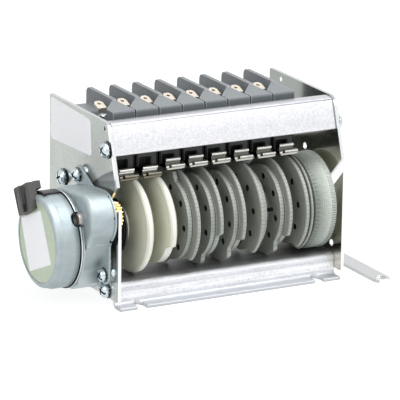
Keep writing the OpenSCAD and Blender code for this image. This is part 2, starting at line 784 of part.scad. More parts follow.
module cam_3_left() { left_disc(3, -92, 74, 40); }
module cam_3_right() { right_disc(3, 190, 304, 18); }
module cam_4_left() { left_disc(4, -57, 118, 26); }
module cam_4_right() { right_disc(4, 215, 342, 5); }
module cam_5_left() { left_disc(5, -46, 125, 37); }
module cam_5_right() { right_disc(5, 205, 330, 12); }
module cam_6_left() { left_disc(6, 180, 300, 9); }
module cam_6_right() { right_disc(6, -100, 100, 30); }
module cam_7_left() { left_disc(7, -45, 126, 36); }
module cam_7_right() { right_disc(7, 200, 326, 14); }
module cam_8_left() { left_disc(8, 168, 298, 10); }
module cam_8_right() { right_disc(8, 175, 288, 2); }

// End wheel: a wide crowned band with a knurled right-hand edge
module end_wheel() {
    x0 = cam_right(stations);
    w = inner_right - x0 - 3.6;
    left = 0.4;
    teeth = 120;
    color([0.66, 0.7, 0.66]) difference() {
        union() {
            turned_x(shaft_at, x0) polygon(concat(
                [[shaft_d / 2 + seat, 0], [disc_hub_r, 0], [disc_hub_r, left], [wheel_r - 0.8, left]],
                [for (k = [0 : 6]) [wheel_r - 0.5 * pow((k - 3) / 3, 2), left + 0.4 + (w - 3.2 - left) * k / 6]],
                [[wheel_r - 0.5, w - 0.4], [shaft_d / 2 + 2.4, w - 0.4],
                 [shaft_d / 2 + 2.4, inner_right - bushing_flange - body_gap - x0],
                 [shaft_d / 2 + seat, inner_right - bushing_flange - body_gap - x0]]
            ));
            along_x(x0 + w - 2.4, 2.4) translate(shaft_at) difference() {
                polygon([
                    for (k = [0 : teeth - 1], p = [[-0.34, wheel_r - 0.55], [-0.16, wheel_r],
                            [0.16, wheel_r], [0.34, wheel_r - 0.55]])
                        p[1] * [cos(360 * (k + p[0]) / teeth), sin(360 * (k + p[0]) / teeth)]
                ]);
                circle(r = wheel_r - 3);
            }
        }
        turned_x(shaft_at, x0 + w - 0.8) translate([disc_hub_r + 2, 0])
            square([wheel_r - 5 - disc_hub_r, 2]);
    }
}

// Switch case: moulded block with a terminal bay and a barrier fin on its right
bay_z = switch_top - 6.9;
body_len = switch_len - 3;
module switch_case(i) {
    x0 = station_x(i) + (pitch - switch_w) / 2;
    x1 = x0 + switch_w;
    rear = switch_y + switch_len;
    color([0.4, 0.42, 0.43]) difference() {
        union() {
            along_x(x0, switch_w) polygon(rounded(
                [[switch_y, switch_z], [switch_y + body_len, switch_z],
                 [switch_y + body_len, bay_z], [switch_y + 24, bay_z],
                 [switch_y + 24, switch_top], [switch_y, switch_top]],
                [0.8, 0.8, 1, 0, 0, 1]
            ));
            along_x(x1 - barrier_t, barrier_t) polygon(rounded(
                [[switch_y + 20, switch_z + 6], [rear, switch_z + 6],
                 [rear, switch_top + barrier_rise], [switch_y + 20, switch_top + barrier_rise]],
                [0, 1, 3, 0.6]
            ));
            for (x = [x0, x1 - 1.4])
                along_x(x, 1.4) polygon([
                    [pin_y - 3.4, switch_z + 1], [pin_y - 1.9, pin_z - 1.9],
                    [pin_y + 1.9, pin_z - 1.9], [pin_y + 3.4, switch_z + 1]
                ]);
        }
        translate([0, 0, bay_z]) linear_extrude(20) polygon([
            [x0 - 1, switch_y + 6.4], [x0, switch_y + 7.2], [x1 - barrier_t, switch_y + 20.5],
            [x1 - barrier_t, rear + 1], [x0 - 1, rear + 1]
        ]);
        translate([x0 + 2.8, switch_y - 1, switch_z + 0.5]) cube([5.2, 3.4, 3.9]);
        for (at = [front_rod, rear_rod]) rod_x(at, x0 - 1, switch_w + 2, rod_d + 2 * seat);
        rod_x([pin_y, pin_z], x0 - 1, switch_w + 2, pin_d + 2 * seat);
        top_spade(i, seat);
        for (side = [0, 1]) rear_spade(i, side, seat);
    }
}
module switch_1() { switch_case(1); }
module switch_2() { switch_case(2); }
module switch_3() { switch_case(3); }
module switch_4() { switch_case(4); }
module switch_5() { switch_case(5); }
module switch_6() { switch_case(6); }
module switch_7() { switch_case(7); }
module switch_8() { switch_case(8); }

// Spade terminals: one bent over the bay and two out of the rear of each case
spade_t = 0.8;
function spade_x(i) = station_x(i) + (pitch - switch_w - barrier_t) / 2 + switch_w / 2 - spade_w / 2;
module top_spade(i, gap) {
    x = spade_x(i) - gap;
    w = spade_w + 2 * gap;
    foot_y = switch_y + 21.4;
    translate([x, foot_y - gap, bay_z - 5]) cube([w, spade_t + 2 * gap, 8.6]);
}
module rear_spade(i, side, gap) {
    y0 = switch_y + body_len - 6;
    z = switch_z + 3 + 9 * side;
    translate([spade_x(i) - gap, y0, z - gap]) cube([spade_w + 2 * gap, 6, spade_t + 2 * gap]);
}
module spade_terminals() {
    foot_y = switch_y + 21.4;
    color([0.82, 0.74, 0.66]) for (i = [1 : stations]) {
        top_spade(i, 0);
        difference() {
            translate([spade_x(i), foot_y, bay_z + 2.9]) rotate([18, 0, 0])
                linear_extrude(spade_t) spade_2d(6.6);
            translate([spade_x(i) + spade_w / 2, foot_y + 3.7, bay_z])
                cylinder(h = 12, d = 1.8, $fn = 24);
        }
        for (side = [0, 1]) {
            rear_spade(i, side, 0);
            translate([spade_x(i), switch_y + body_len - 0.5, switch_z + 3 + 9 * side]) difference() {
                linear_extrude(spade_t) spade_2d(8.5);
                translate([spade_w / 2, 5.6, -1]) cylinder(h = 3, d = 1.6, $fn = 24);
            }
        }
    }
}
module spade_2d(len_y) {
    polygon([[0, 0], [spade_w, 0], [spade_w, len_y - 1.6], [spade_w - 1.2, len_y], [1.2, len_y], [0, len_y - 1.6]]);
}

// Clamp screws on the floor of each terminal bay
module terminal_screws() {
    color([0.55, 0.56, 0.57]) for (i = [1 : stations])
        translate([spade_x(i) + 0.6, switch_y + 15.9, bay_z]) difference() {
            rotate_extrude() polygon([[0, 0], [2.4, 0], [2.4, 1.4], [2, 2.1], [0, 2.3]]);
            translate([-3, -0.4, 1.4]) cube([6, 0.8, 2]);
        }
}

// Hinge pins of the levers, pressed into the cases' lugs
module lever_pins() {
    color([0.7, 0.71, 0.72]) for (i = [1 : stations])
        rod_x([pin_y, pin_z], station_x(i) + (pitch - switch_w) / 2, switch_w, pin_d);
}

// Lever: flat arm on a rolled barrel, a follower, a front bar and a raised tab with rolled edges
module lever_blank(foot_z) {
    barrel_x = (pitch - switch_w) / 2 + 1.4 + 0.15;
    barrel_w = switch_w - 2.8 - 0.3;
    difference() {
        union() {
            rod_x([pin_y, pin_z], barrel_x, barrel_w, 2 * barrel_r);
            translate([2.2, lever_front, arm_z]) cube([8.2, pin_y - lever_front, lever_t]);
            translate([lever_split, lever_front + 0.4, arm_z]) cube([lever_bar_w, 2.4, lever_t]);
            translate([lever_split, lever_front + 0.2, arm_z + 0.5]) cube([lever_bar_w, lever_t, 1.2]);
            rod_x([lever_front + 0.8, arm_z + 1.55], lever_split, lever_bar_w, 1.7);
            translate([lever_left, lever_front + 1.4, arm_z]) cube([lever_tab_w, lever_t, 4.7]);
            rod_x([lever_front + 1.5, arm_z + 4.7], lever_left, lever_tab_w, 1.7);
            rod_x([lever_front + 1.3, arm_z + 1.1], lever_left, 1.5, 1.8);
            if (arm_z - foot_z > 0.4) along_x(lever_split, lever_bar_w) polygon([
                [shaft_y - 3.4, arm_z + 0.2], [shaft_y - 1.2, foot_z], [shaft_y + 1.2, foot_z],
                [shaft_y + 3.4, arm_z + 0.2]
            ]);
        }
        rod_x([pin_y, pin_z], 0, pitch, pin_d + 2 * running);
    }
}

module lever(i, drop, foot_z) {
    color([0.86, 0.86, 0.84]) translate([station_x(i), pin_y, pin_z]) rotate([drop, 0, 0])
        translate([0, -pin_y, -pin_z]) lever_blank(foot_z);
}
high_foot = shaft_z + cam_high + follower_gap;
module lever_1() { lever(1, lever_drop, arm_z); }
module lever_2() { lever(2, lever_drop, arm_z); }
module lever_3() { lever(3, 0, high_foot); }
module lever_4() { lever(4, 0, high_foot); }
module lever_5() { lever(5, 0, high_foot); }
module lever_6() { lever(6, 0, high_foot); }
module lever_7() { lever(7, 0, high_foot); }
module lever_8() { lever(8, 0, high_foot); }

module placed() { translate([-centre_x, -centre_y, 0]) children(); }

placed() left_end_plate();
placed() right_end_plate();
placed() base_pan();
placed() front_rail();
placed() tie_rod();
placed() stack_rods();
placed() frame_screws();
placed() left_bushing();
placed() right_bushing();
placed() motor_can();
placed() motor_face();
placed() insulator_strip();
placed() motor_connector();
placed() gear_case();
placed() output_bearing();
placed() motor_plate();
placed() motor_spacers();
placed() motor_screws();
placed() output_pinion();
placed() camshaft();
placed() shaft_gear();
placed() black_drum();
placed() cam_1();
placed() cam_2();
placed() cam_3_left();
placed() cam_3_right();
placed() cam_4_left();
placed() cam_4_right();
placed() cam_5_left();
placed() cam_5_right();
placed() cam_6_left();
placed() cam_6_right();
placed() cam_7_left();
placed() cam_7_right();
placed() cam_8_left();
placed() cam_8_right();
placed() end_wheel();
placed() switch_1();
placed() switch_2();
placed() switch_3();
placed() switch_4();
placed() switch_5();
placed() switch_6();
placed() switch_7();
placed() switch_8();
placed() spade_terminals();
placed() terminal_screws();
placed() lever_pins();
placed() lever_1();
placed() lever_2();
placed() lever_3();
placed() lever_4();
placed() lever_5();
placed() lever_6();
placed() lever_7();
placed() lever_8();
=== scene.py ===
import math

import bmesh
import bpy
from mathutils import Matrix, Vector


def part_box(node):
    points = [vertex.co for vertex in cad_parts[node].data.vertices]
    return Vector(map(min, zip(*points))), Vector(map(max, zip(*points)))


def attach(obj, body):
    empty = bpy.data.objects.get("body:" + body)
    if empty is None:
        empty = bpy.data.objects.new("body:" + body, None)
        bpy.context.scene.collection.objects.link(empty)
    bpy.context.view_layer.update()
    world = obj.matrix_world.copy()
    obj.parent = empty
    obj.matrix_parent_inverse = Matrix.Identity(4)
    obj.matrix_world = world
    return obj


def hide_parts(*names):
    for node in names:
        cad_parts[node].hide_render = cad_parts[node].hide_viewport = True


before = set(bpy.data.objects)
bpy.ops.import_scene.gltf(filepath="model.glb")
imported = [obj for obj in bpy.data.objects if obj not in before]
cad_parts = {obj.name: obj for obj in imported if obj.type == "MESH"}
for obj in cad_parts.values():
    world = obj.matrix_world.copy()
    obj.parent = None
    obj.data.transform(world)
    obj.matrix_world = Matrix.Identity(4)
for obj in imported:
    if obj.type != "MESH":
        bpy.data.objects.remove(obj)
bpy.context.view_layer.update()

# Camera: a long lens low over the motor's end, so that the end plates, the cams and the
# tops of the switches show together. Its place was found from the end plates' corners.
plate_depth, ear_front = 76.5, 13.6
# Millimetres here run from the left plate's outer face, the plates' front edges and the
# mounting surface. The frame's origin is at centre in them, and the camera is at eye.
centre = Vector((56.7, (plate_depth - ear_front) / 2, 0.0))
eye = (-736.67, -1450.87, 527.58)
yaw, pitch, roll = (math.radians(a) for a in (28.29, 16.12, 0.88))
focal_px, picture_px, sensor_mm = 3529.8, 400, 36
forward = Vector((math.sin(yaw) * math.cos(pitch), math.cos(yaw) * math.cos(pitch),
                  -math.sin(pitch)))
level = Vector((math.cos(yaw), -math.sin(yaw), 0.0))
upright = level.cross(forward)
rightward = level * math.cos(roll) + upright * math.sin(roll)
upward = upright * math.cos(roll) - level * math.sin(roll)
camera = bpy.data.objects.new("camera", bpy.data.cameras.new("camera"))
bpy.context.scene.collection.objects.link(camera)
camera.matrix_world = Matrix((
    (rightward.x, upward.x, -forward.x, (eye[0] - centre.x) / 1000),
    (rightward.y, upward.y, -forward.y, (eye[1] - centre.y) / 1000),
    (rightward.z, upward.z, -forward.z, eye[2] / 1000),
    (0, 0, 0, 1),
))
camera.data.sensor_width = sensor_mm
camera.data.lens = focal_px / picture_px * sensor_mm
camera.data.clip_end = 20
bpy.context.scene.camera = camera
bpy.context.scene.view_settings.view_transform = "Standard"


# Studio: a pale floor and a white surround, seen as white by the camera and in reflections.
# Broad soft lamps stand above, in front at the right and at the motor's side.
class Shade:
    """An output socket of a material; Python's arithmetic on it adds Math nodes."""

    def __init__(self, tree, socket=None):
        self.tree, self.socket = tree, socket

    def add(self, kind, settings=None, inputs=None, output=0):
        """Adds a node: first its settings or ramp stops, then its sockets' values or links."""
        node = self.tree.nodes.new(kind)
        for name, value in (settings or {}).items():
            if name == "stops":
                while len(node.color_ramp.elements) < len(value):
                    node.color_ramp.elements.new(0.5)
                for element, (place, colour) in zip(node.color_ramp.elements, value):
                    element.position = place
                    element.color = colour
            else:
                setattr(node, name, value)
        for key, value in (inputs or {}).items():
            if isinstance(value, Shade):
                self.tree.links.new(value.socket, node.inputs[key])
            else:
                node.inputs[key].default_value = value
        if not len(node.outputs):
            return None
        return Shade(self.tree, node.outputs[output])

    def math(self, operation, *values):
        return self.add("ShaderNodeMath", {"operation": operation}, dict(enumerate(values)))

    def __add__(self, other):
        return self.math("ADD", self, other)

    def __sub__(self, other):
        return self.math("SUBTRACT", self, other)

    def __rsub__(self, other):
        return self.math("SUBTRACT", other, self)

    def __mul__(self, other):
        return self.math("MULTIPLY", self, other)

    def __truediv__(self, other):
        return self.math("DIVIDE", self, other)

    def __gt__(self, other):
        return self.math("GREATER_THAN", self, other)

    def __lt__(self, other):
        return self.math("LESS_THAN", self, other)

    def __abs__(self):
        return self.math("ABSOLUTE", self)

    __radd__, __rmul__ = __add__, __mul__

    def clamp(self):
        return self.math("MINIMUM", self.math("MAXIMUM", self, 0.0), 1.0)

    def fract(self):
        """What is left over a whole number: it repeats from 0 to 1."""
        return self.math("FRACT", self)

    def near(self, value, reach):
        """1 within reach of a value, 0 elsewhere."""
        return abs(self - value) < reach

    def within(self, low, high):
        """1 between two values, 0 elsewhere."""
        return (self > low) * (self < high)

    def mix(self, first, second):
        """A colour between first and second, by this value."""
        return self.add("ShaderNodeMix", {"data_type": "RGBA"}, {0: self, 6: first, 7: second}, 2)

    def ramp(self, *stops):
        """A colour from a ramp of (place, colour) stops, at this value."""
        return self.add("ShaderNodeValToRGB", {"stops": stops}, {0: self})

    def part(self, axis):
        """One component of a vector."""
        return self.add("ShaderNodeSeparateXYZ", inputs={0: self}, output="xyz".index(axis))

    def vector(self, operation, other, output=0):
        return self.add("ShaderNodeVectorMath", {"operation": operation}, {0: self, 1: other},
                        output)


def fresh_nodes(owner):
    """The empty node tree of a new material or world, ready to add nodes to."""
    owner.use_nodes = True
    owner.node_tree.nodes.clear()
    return Shade(owner.node_tree)


def seen_white(shade, first, second):
    """First for what lights the object; second for the camera, reflections and glass."""
    ray = [shade.add("ShaderNodeLightPath", output=key)
           for key in ("Is Camera Ray", "Is Glossy Ray", "Is Transmission Ray")]
    return shade.add("ShaderNodeMixShader", inputs={
        0: (ray[0] + ray[1] + ray[2]).clamp(), 1: first, 2: second})


def grey(value):
    return (value, value, value, 1)


floor = bpy.data.objects.new("floor", bpy.data.meshes.new("floor"))
bpy.context.scene.collection.objects.link(floor)
sheet = bmesh.new()
bmesh.ops.create_grid(sheet, x_segments=1, y_segments=1, size=3)
sheet.to_mesh(floor.data)
sheet.free()
floor_paint = bpy.data.materials.new("floor paint")
shade = fresh_nodes(floor_paint)
matt = shade.add("ShaderNodeBsdfDiffuse", inputs={"Color": grey(0.8)})
shadow = shade.add("ShaderNodeBsdfDiffuse", inputs={"Color": grey(0.35)})
glow = shade.add("ShaderNodeEmission", inputs={"Color": grey(1), "Strength": 0.82})
pale = shade.add("ShaderNodeAddShader", inputs={0: shadow, 1: glow})
shade.add("ShaderNodeOutputMaterial", inputs={0: seen_white(shade, matt, pale)})
floor.data.materials.append(floor_paint)

world = bpy.data.worlds.new("studio")
bpy.context.scene.world = world
shade = fresh_nodes(world)
dim = shade.add("ShaderNodeBackground", inputs={"Color": grey(1), "Strength": 0.36})
white = shade.add("ShaderNodeBackground", inputs={"Color": grey(1), "Strength": 1.0})
shade.add("ShaderNodeOutputWorld", inputs={0: seen_white(shade, dim, white)})


def lamp(name, place, size, watts):
    """A square area lamp, in metres, aimed at the middle of the object."""
    light = bpy.data.objects.new(name, bpy.data.lights.new(name, "AREA"))
    bpy.context.scene.collection.objects.link(light)
    light.data.size, light.data.energy = size, watts
    turn = (Vector((0, 0, 0.04)) - Vector(place)).to_track_quat("-Z", "Y").to_matrix().to_4x4()
    light.matrix_world = Matrix.Translation(place) @ turn


lamp("top lamp", (0.1, -0.25, 1.25), 0.7, 11)
lamp("front lamp", (0.65, -1.0, 0.95), 0.7, 4.5)
lamp("side lamp", (-1.1, -0.6, 0.75), 0.8, 5.5)

# End plates: two sheets of bright zinc-plated steel, sheared with a leaning front edge and a
# slanting slot for the camshaft. The right one is folded out to a foot with an ear. The
# plating is smooth enough to mirror what is near, and shows a fine spangle.
frame_len, plate_t = 126.3, 1.6
lean_y0, lean_z0, lean = 2.06, 62.2, math.radians(18)
arc_y, arc_z, arc_fall, arc_bend = 7.0, 69.9, 0.36, 0.0075


def rgb(red, green, blue):
    """A colour written as it shows on a screen, 0 to 255, for a shader's socket."""
    return tuple(((c / 255 + 0.055) / 1.055) ** 2.4 if c > 10 else c / 255 / 12.92
                 for c in (red, green, blue)) + (1.0,)


def noise(shade, place, scale, detail=2.0, stretch=(1, 1, 1)):
    """Noise from 0 to 1, with scale features to the millimetre."""
    if stretch != (1, 1, 1):
        place = place.vector("MULTIPLY", stretch)
    return shade.add("ShaderNodeTexNoise", inputs={
        "Vector": place, "Scale": scale, "Detail": detail})


def finish(name, colour, roughness, metallic=0.0, bump=None, bump_mm=0.05, ior=1.5,
           edge_mm=0.0, edge_colour=None):
    """A material. Colour, roughness, metallic, bump and the painted highlight or shade of rounded
    edges may be functions of a Shade and of a place in millimetres from the frame's origin."""
    material = bpy.data.materials.new(name)
    shade = fresh_nodes(material)
    place = shade.add("ShaderNodeTexCoord", output=3).vector("MULTIPLY", (1000, 1000, 1000))

    def value_of(entry):
        return entry(shade, place) if callable(entry) else entry

    inputs = {"IOR": ior, "Base Color": value_of(colour), "Roughness": value_of(roughness),
              "Metallic": value_of(metallic)}
    if edge_mm:
        rounded = shade.add("ShaderNodeBevel", {"samples": 6}, {"Radius": edge_mm / 1000})
        inputs["Normal"] = rounded
        if edge_colour:
            sharp = shade.add("ShaderNodeNewGeometry", output=1)
            # The edge tone is painted light: a highlight on most materials and shade on some, where
            # the bevel turns.
            painted_light_and_wear = (1.0 - rounded.vector("DOT_PRODUCT", sharp, output=1)) * 7.0
            inputs["Base Color"] = painted_light_and_wear.clamp().mix(inputs["Base Color"], value_of(edge_colour))
    if bump:
        relief = {"Height": value_of(bump), "Distance": bump_mm / 1000}
        if edge_mm:
            relief["Normal"] = rounded
        inputs["Normal"] = shade.add("ShaderNodeBump", inputs=relief)
    surface = shade.add("ShaderNodeBsdfPrincipled", inputs=inputs)
    shade.add("ShaderNodeOutputMaterial", inputs={0: surface})
    return material


def dress(material, *names):
    """Gives CAD nodes a material."""
    for name in names:
        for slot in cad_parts[name].material_slots:
            slot.material = material


def at(x, y, z):
    """A place in metres in the frame, from millimetres off the left plate and front edges."""
    return Vector(((x - centre.x) / 1000, (y - centre.y) / 1000, z / 1000))


def plate_mm(p):
    """A surface's place in the millimetres that at() takes."""
    return p.part("x") + centre.x, p.part("y") + centre.y, p.part("z")


def away(p, x, y, z):
    """How far a surface is from a place in the millimetres that at() takes."""
    return p.vector("DISTANCE", tuple(at(x, y, z) * 1000), output=1)


def patch(p, x, y, z, reach, middle):
    """A soft round patch: it falls from middle by 1 per reach, and is kept within 0 to 1."""
    return (middle - away(p, x, y, z) / reach).clamp()


def normal(s, axis):
    """One component of the way a surface faces, from -1 to 1."""
    return s.add("ShaderNodeNewGeometry", output=1).part(axis)


def lean_y(z):
    """Where the plates' leaning front edge is at a height."""
    return lean_y0 + (z - lean_z0) * math.tan(lean)


def spangle(s, p):
    """Cells of the zinc's crystals, about half a millimetre across."""
    cells = s.add("ShaderNodeTexVoronoi", {"feature": "F1"}, {"Vector": p, "Scale": 1.4}, 1)
    return cells.part("x")


def zinc_colour(s, p):
    """Grey zinc. The left plate has a painted reflection of the motor, dark in an arc over it,
    painted shade beside the rail, painted light low down and a painted highlight along its front
    edge; the right plate has painted shade at the top and painted warm light low inside. Flat
    faces are painted lighter, and cut edges get a painted highlight."""
    x, y, z = plate_mm(p)
    left_plate, right_plate = x < plate_t / 2, x > frame_len - 6.3
    cloud = noise(s, p, 0.08, 3)
    sheet = (0.4 * spangle(s, p) + 0.6 * cloud).mix(rgb(160, 166, 161), rgb(190, 195, 191))
    # A painted reflection of the motor: a dark arc on the left plate over it.
    along = y - arc_y
    below_arc = arc_z - arc_fall * along - arc_bend * along * along - z
    painted_motor_reflection = (below_arc / 0.9).clamp() * (1.0 - (below_arc - 1.5) / 7.5).clamp()
    painted_motor_reflection = painted_motor_reflection * ((34.0 - y) / 3.0).clamp() * left_plate
    sheet = (0.9 * painted_motor_reflection).mix(sheet, rgb(60, 62, 74))
    # Painted shade: a patch on the left plate beside the rail, and the top of the right plate.
    dim = 0.38 * patch(p, 0, 16, 75, 26.0, 1.0) + 0.55 * ((z - 72.0) / 12.0).clamp() * right_plate
    sheet = dim.clamp().mix(sheet, rgb(118, 124, 120))
    # Painted warm light low on the right plate's inner face.
    inside = x.within(frame_len - 6.3, frame_len - 0.9) * ((76.0 - z) / 8.0).clamp()
    sheet = inside.mix(sheet, rgb(206, 203, 192))
    # Painted light low on the left plate below the motor's lower ear, where the motor shades it.
    sheet = (0.85 * patch(p, 0, 20, 12, 16.0, 1.2)).mix(sheet, rgb(250, 253, 253))
    # A painted highlight along the left plate's front edge.
    front_edge_painted_highlight = left_plate * (z > 61.0) * (y < lean_y(z) + 1.84)
    sheet = front_edge_painted_highlight.mix(sheet, rgb(238, 242, 240))
    # Painted light by facing: flat faces lighter, and cut edges with a painted highlight.
    lying_face_painted_light = abs(normal(s, "z")) > 0.7
    sheared_edge_painted_highlight = ((abs(normal(s, "x")) < 0.5) - lying_face_painted_light).clamp()
    return sheared_edge_painted_highlight.mix(lying_face_painted_light.mix(sheet, rgb(206, 208, 211)), rgb(236, 240, 239))


def zinc_metallic(s, p):
    """Duller beside the motor's two ears, where the plating is rubbed."""
    rubbed = patch(p, 0, 26, 58, 20.0, 1.2) + patch(p, 0, 18, 14, 18.0, 1.2)
    return 1.0 - 0.75 * rubbed.clamp()


# The plates' rounded edges get a painted highlight.
zinc = finish("bright zinc plate", zinc_colour, lambda s, p: 0.08 + 0.1 * noise(s, p, 2.2, 3),
              metallic=zinc_metallic,
              bump=lambda s, p: spangle(s, p) * 0.5 + noise(s, p, 0.35, 2), bump_mm=0.012,
              edge_mm=0.25, edge_colour=rgb(250, 252, 251))
dress(zinc, "left_end_plate", "right_end_plate")


# Rating sticker: a strip of white film with rounded corners, stuck high on the left plate's
# outer face. It is bare. Its corners were measured in the picture.
def piece(name, bm, materials, body):
    """Makes a bmesh built in metres a piece that rides on a body."""
    mesh = bpy.data.meshes.new(name)
    bm.to_mesh(mesh)
    bm.free()
    for material in materials:
        mesh.materials.append(material)
    mesh.shade_smooth()
    mesh.set_sharp_from_angle(angle=math.radians(30))
    made = bpy.data.objects.new(name, mesh)
    bpy.context.scene.collection.objects.link(made)
    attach(made, body)
    return made


def shift(bm, extruded, vec):
    """Moves what an extrude operator made, and returns its vertices."""
    verts = [v for v in extruded["geom"] if isinstance(v, bmesh.types.BMVert)]
    bmesh.ops.translate(bm, verts=verts, vec=vec)
    return verts


def sticker(corners, x, thickness, corner_r):
    """A label on a face across the shaft, from its corners as (y, z) in millimetres."""
    bm = bmesh.new()
    bm.faces.new([bm.verts.new(at(x, y, z)) for y, z in corners])
    bmesh.ops.bevel(bm, geom=list(bm.verts), offset=corner_r / 1000, segments=5, profile=0.5,
                    material=-1, affect="VERTICES")
    bmesh.ops.recalc_face_normals(bm, faces=list(bm.faces))
    outer = bmesh.ops.extrude_face_region(bm, geom=list(bm.faces))
    shift(bm, outer, (-thickness / 1000, 0, 0))
    bmesh.ops.recalc_face_normals(bm, faces=list(bm.faces))
    return bm


paper = finish("white label film",
               lambda s, p: noise(s, p, 0.15, 3).mix(rgb(246, 248, 253), rgb(252, 253, 255)), 0.38,
               bump=lambda s, p: noise(s, p, 0.25, 2), bump_mm=0.05)
rating_corners = [(75.3, 90.8), (30.9, 89.2), (29.3, 71.2), (75.1, 69.5)]
piece("rating_label", sticker(rating_corners, 0.0, 0.15, 2.2), [paper], "frame")

# Base pan: one zinc-plated sheet, folded down at the front and back and out again to a low
# flange with open notches, and screwed to the plates. Its floor is drawn along the pan and has
# painted shade that deepens away from the front; its riser has painted bands of highlight and
# reflection with streaks, and its flange is pale.
deck_z, fold_y, fold_len = 12.4, 8.4, 6.5


def pan_colour(s, p):
    _, y, z = plate_mm(p)
    streak = noise(s, p, 1.1, 4, (0.05, 1, 1))
    grain = 0.6 * noise(s, p, 1.8, 3) + 0.4 * spangle(s, p)
    wear = 0.6 * streak + 0.4 * grain
    # Painted bands of highlight and reflection down the riser, under streaks of wear.
    riser_painted_highlights = (z / deck_z).ramp(
        (0.0, rgb(178, 181, 186)), (0.15, rgb(212, 214, 218)), (0.27, rgb(220, 222, 226)),
        (0.36, rgb(244, 245, 247)), (0.58, rgb(242, 243, 245)), (0.68, rgb(214, 217, 221)),
        (0.76, rgb(222, 224, 228)), (0.84, rgb(218, 219, 222)), (0.92, rgb(176, 178, 181)),
        (1.0, rgb(140, 141, 144)))
    painted_light_and_wear = ((wear - 0.46) * 2.4).clamp().mix(riser_painted_highlights, rgb(176, 179, 184))
    # Painted shade on the floor, deepening away from the front, over its drawn streaks.
    drawn = wear.mix(rgb(60, 60, 61), rgb(176, 176, 178))
    deck = ((y - fold_y) / fold_len).clamp().mix(rgb(184, 185, 188), drawn)
    flat = (z > deck_z / 2).mix(rgb(190, 192, 196), deck)
    return (normal(s, "z") > 0.7).mix(painted_light_and_wear, flat)


pan_zinc = finish("drawn zinc plate", pan_colour,
                  lambda s, p: 0.42 + 0.16 * noise(s, p, 1.2, 3, (0.1, 1, 1)), metallic=1.0,
                  bump=lambda s, p: noise(s, p, 0.9, 3, (0.05, 1, 1)), bump_mm=0.04, edge_mm=1.2)
dress(pan_zinc, "base_pan")

# Front rail and rear tie: two channels of the same sheet, each folded twice with a flap at
# both ends that takes one screw through the end plate. The rail leans back with the plates.
rail_low, rail_top, lip = 76.0, 91.5, 6.3
tie_low, tie_top, tie_front, tie_back = 45.3, 60.9, 56.5, 63.6


def rail_colour(s, p):
    """Pale zinc painted darker at the top and lighter below, as light falls, with flat faces in a
    tone of their own and painted shade in grey lines at the fold, lower edge and end fold.
    """
    x, _, z = plate_mm(p)
    grain = 0.5 * spangle(s, p) + 0.5 * noise(s, p, 1.2, 4)
    # Painted light: the face is darker towards the top and lighter towards the bottom.
    height = ((z - rail_low) / (rail_top - rail_low)).clamp()
    sheet = height.mix(grain.mix(rgb(208, 209, 213), rgb(250, 250, 253)),
                       grain.mix(rgb(162, 163, 168), rgb(200, 200, 205)))
    # Flat faces are painted in a tone of their own, as light falls on them.
    sheet = (normal(s, "z") > 0.8).mix(sheet, grain.mix(rgb(196, 198, 203), rgb(226, 227, 231)))
    # Painted shade in lines at the fold, at the lower edge and at the end fold.
    fold = z.near(rail_top - 1.0, 0.3) + (z < rail_low + 0.5)
    end = x.near(frame_len - 2.3, 0.45)
    return (0.6 * fold + 0.8 * end).clamp().mix(sheet, rgb(96, 98, 103))


def channel(path, flap):
    """A strip folded along a path of (y, z), with an end flap inside each plate."""
    bm = bmesh.new()
    left, right = plate_t + 0.05, frame_len - plate_t - 0.05
    verts = [bm.verts.new(at(left, y, z)) for y, z in path]
    edges = [bm.edges.new(pair) for pair in zip(verts, verts[1:])]
    shift(bm, bmesh.ops.extrude_edge_only(bm, edges=edges), ((right - left) / 1000, 0, 0))
    folds = [e for e in bm.edges if len(e.link_faces) == 2]
    bmesh.ops.bevel(bm, geom=folds, offset=0.0019, segments=6, profile=0.5, material=-1,
                    affect="EDGES")
    bmesh.ops.recalc_face_normals(bm, faces=list(bm.faces))
    bmesh.ops.solidify(bm, geom=list(bm.faces), thickness=plate_t / 1000)
    for x in (left, right - plate_t):
        start = bm.faces.new([bm.verts.new(at(x, y, z)) for y, z in flap])
        shift(bm, bmesh.ops.extrude_face_region(bm, geom=[start]), (plate_t / 1000, 0, 0))
    bmesh.ops.recalc_face_normals(bm, faces=list(bm.faces))
    return bm


rail_zinc = finish("pale zinc plate", rail_colour, lambda s, p: 0.24 + 0.16 * noise(s, p, 1.5, 3),
                   metallic=1.0, bump=lambda s, p: spangle(s, p) * 0.6 + noise(s, p, 1.2, 3),
                   bump_mm=0.02, edge_mm=0.3)
rail_path = [(lean_y(rail_low) + 5, rail_low), (lean_y(rail_low), rail_low),
             (lean_y(rail_top), rail_top), (lean_y(rail_top) + lip, rail_top)]
rail_flap = [(lean_y(rail_low) + 1.8, rail_low + 0.6), (17.1, rail_low + 0.6),
             (17.1, rail_top - 5), (lean_y(rail_top) + 2.4, rail_top - 1.8)]
rail = piece("folded_front_rail", channel(rail_path, rail_flap), [rail_zinc], "frame")
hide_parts("front_rail")
tie_path = [(tie_front, tie_top), (tie_back, tie_top), (tie_back, tie_low), (tie_front, tie_low)]
tie_flap = [(tie_back - 1.4, tie_top - 1.5), (tie_front - 1, tie_top - 1.5),
            (tie_front - 1, tie_low + 1.5), (tie_back - 1.4, tie_low + 1.5)]
tie = piece("folded_rear_tie", channel(tie_path, tie_flap), [zinc], "frame")
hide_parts("tie_rod")


